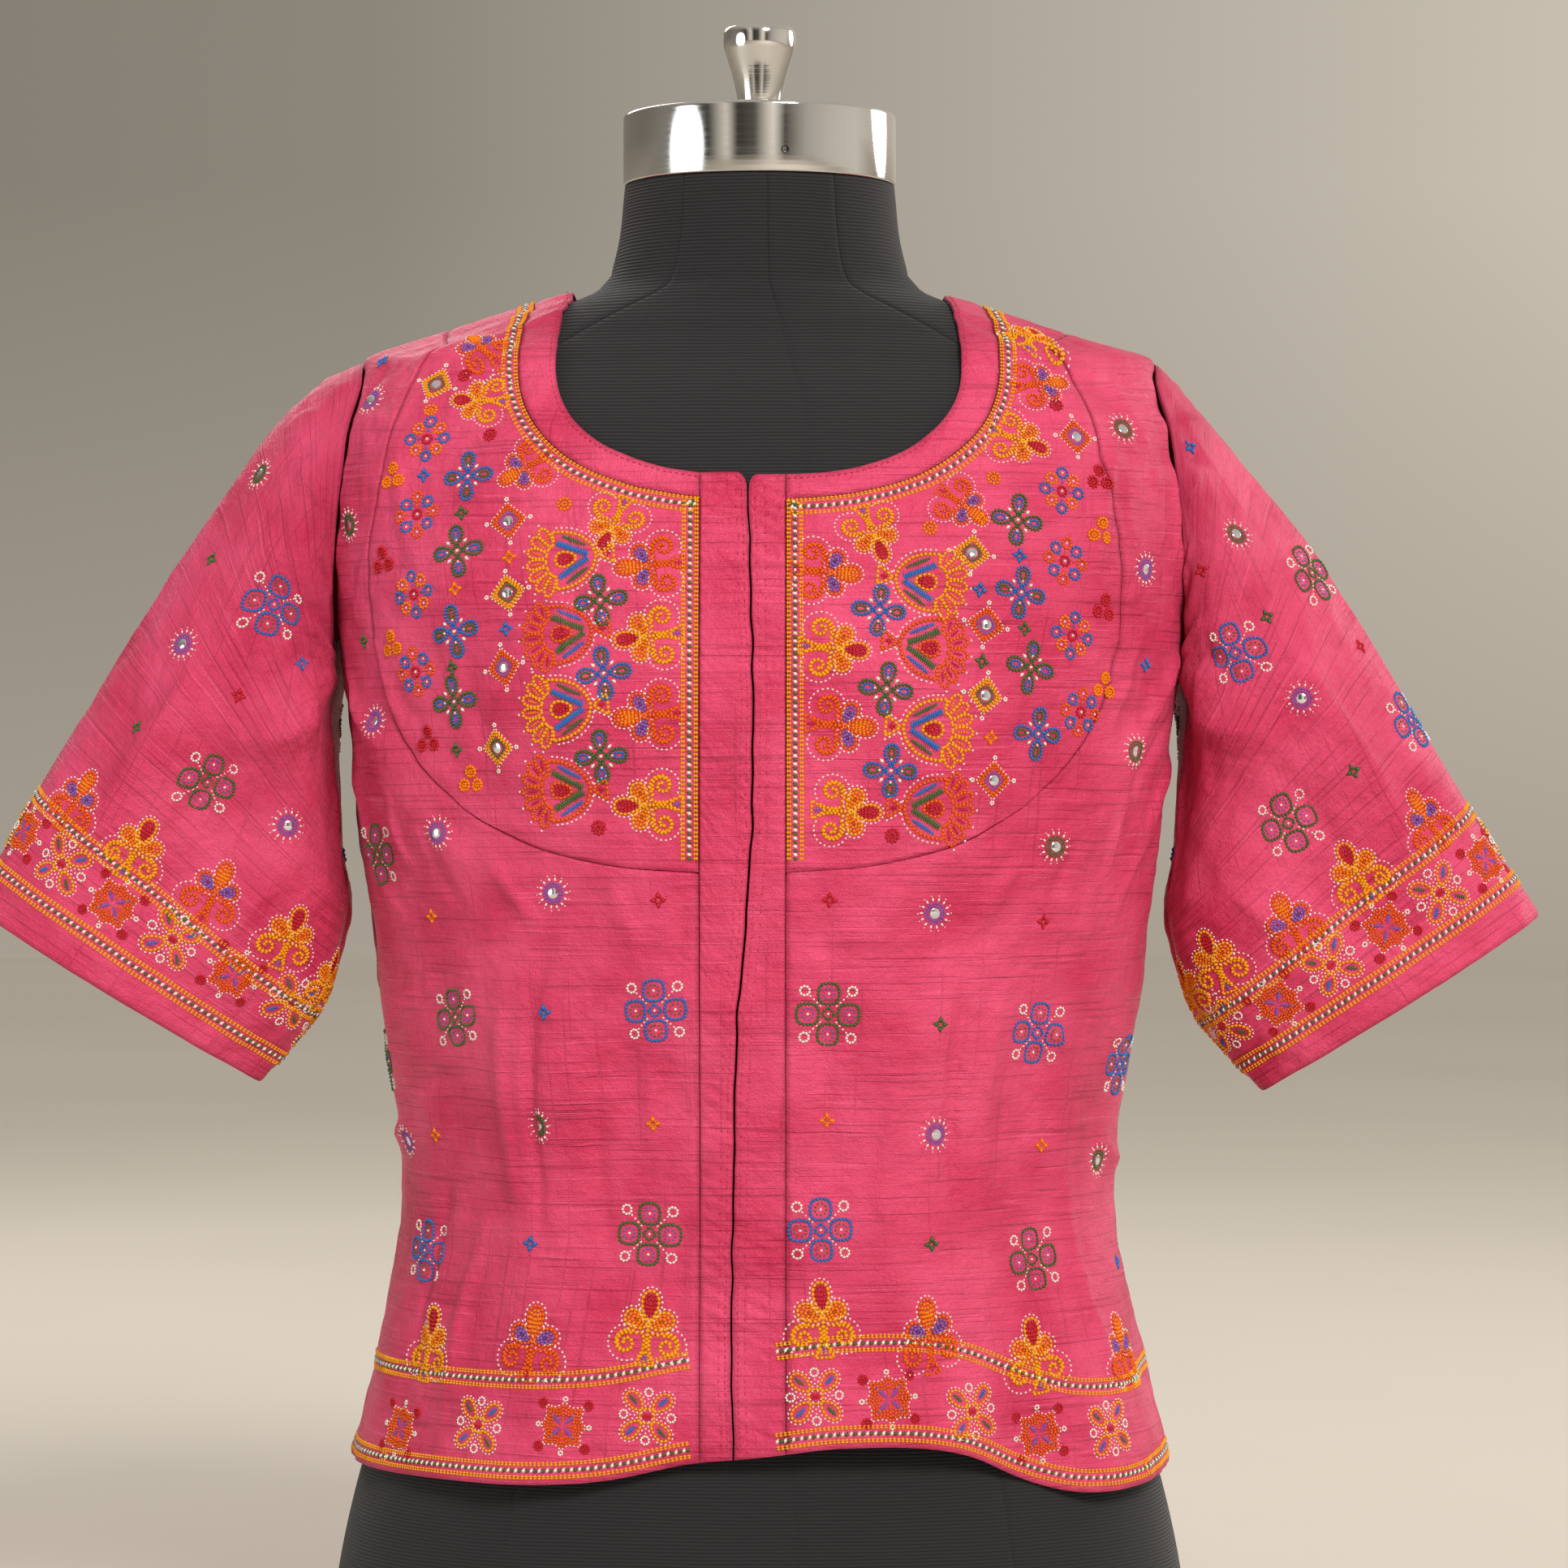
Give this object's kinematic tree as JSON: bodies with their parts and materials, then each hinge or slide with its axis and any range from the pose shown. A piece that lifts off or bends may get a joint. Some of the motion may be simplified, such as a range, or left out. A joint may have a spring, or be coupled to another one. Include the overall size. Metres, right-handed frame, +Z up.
{
  "type": "choli blouse on a dress form",
  "caption": "Short-sleeved, front-opening silk blouse with round embroidered yokes, worn on a limbless dress form with a metal neck cap.",
  "frame": {"origin": "middle of the form's flat base", "axes": "+Z up; the blouse's front faces -Y; +X is to the right as seen from the front"},
  "size_m": [0.682, 0.2576, 0.7432],
  "materials": {
    "pink_silk": "slubbed silk, soft sheen",
    "thread": "twisted embroidery thread",
    "form_cover": "fine ribbed knit",
    "chrome": "polished"
  },
  "bodies": {
    "root": {"back": "pink_silk", "neck_band_back": "pink_silk", "front_left": "pink_silk", "front_right": "pink_silk", "yoke_left": "pink_silk", "yoke_right": "pink_silk", "neck_band_left": "pink_silk", "neck_band_right": "pink_silk", "placket_left": "pink_silk", "placket_right": "pink_silk", "sleeve_left": "pink_silk", "sleeve_right": "pink_silk", "form_body": "form_cover", "neck_cap": "chrome", "neck_knob": "chrome"}
  },
  "joints": []
}
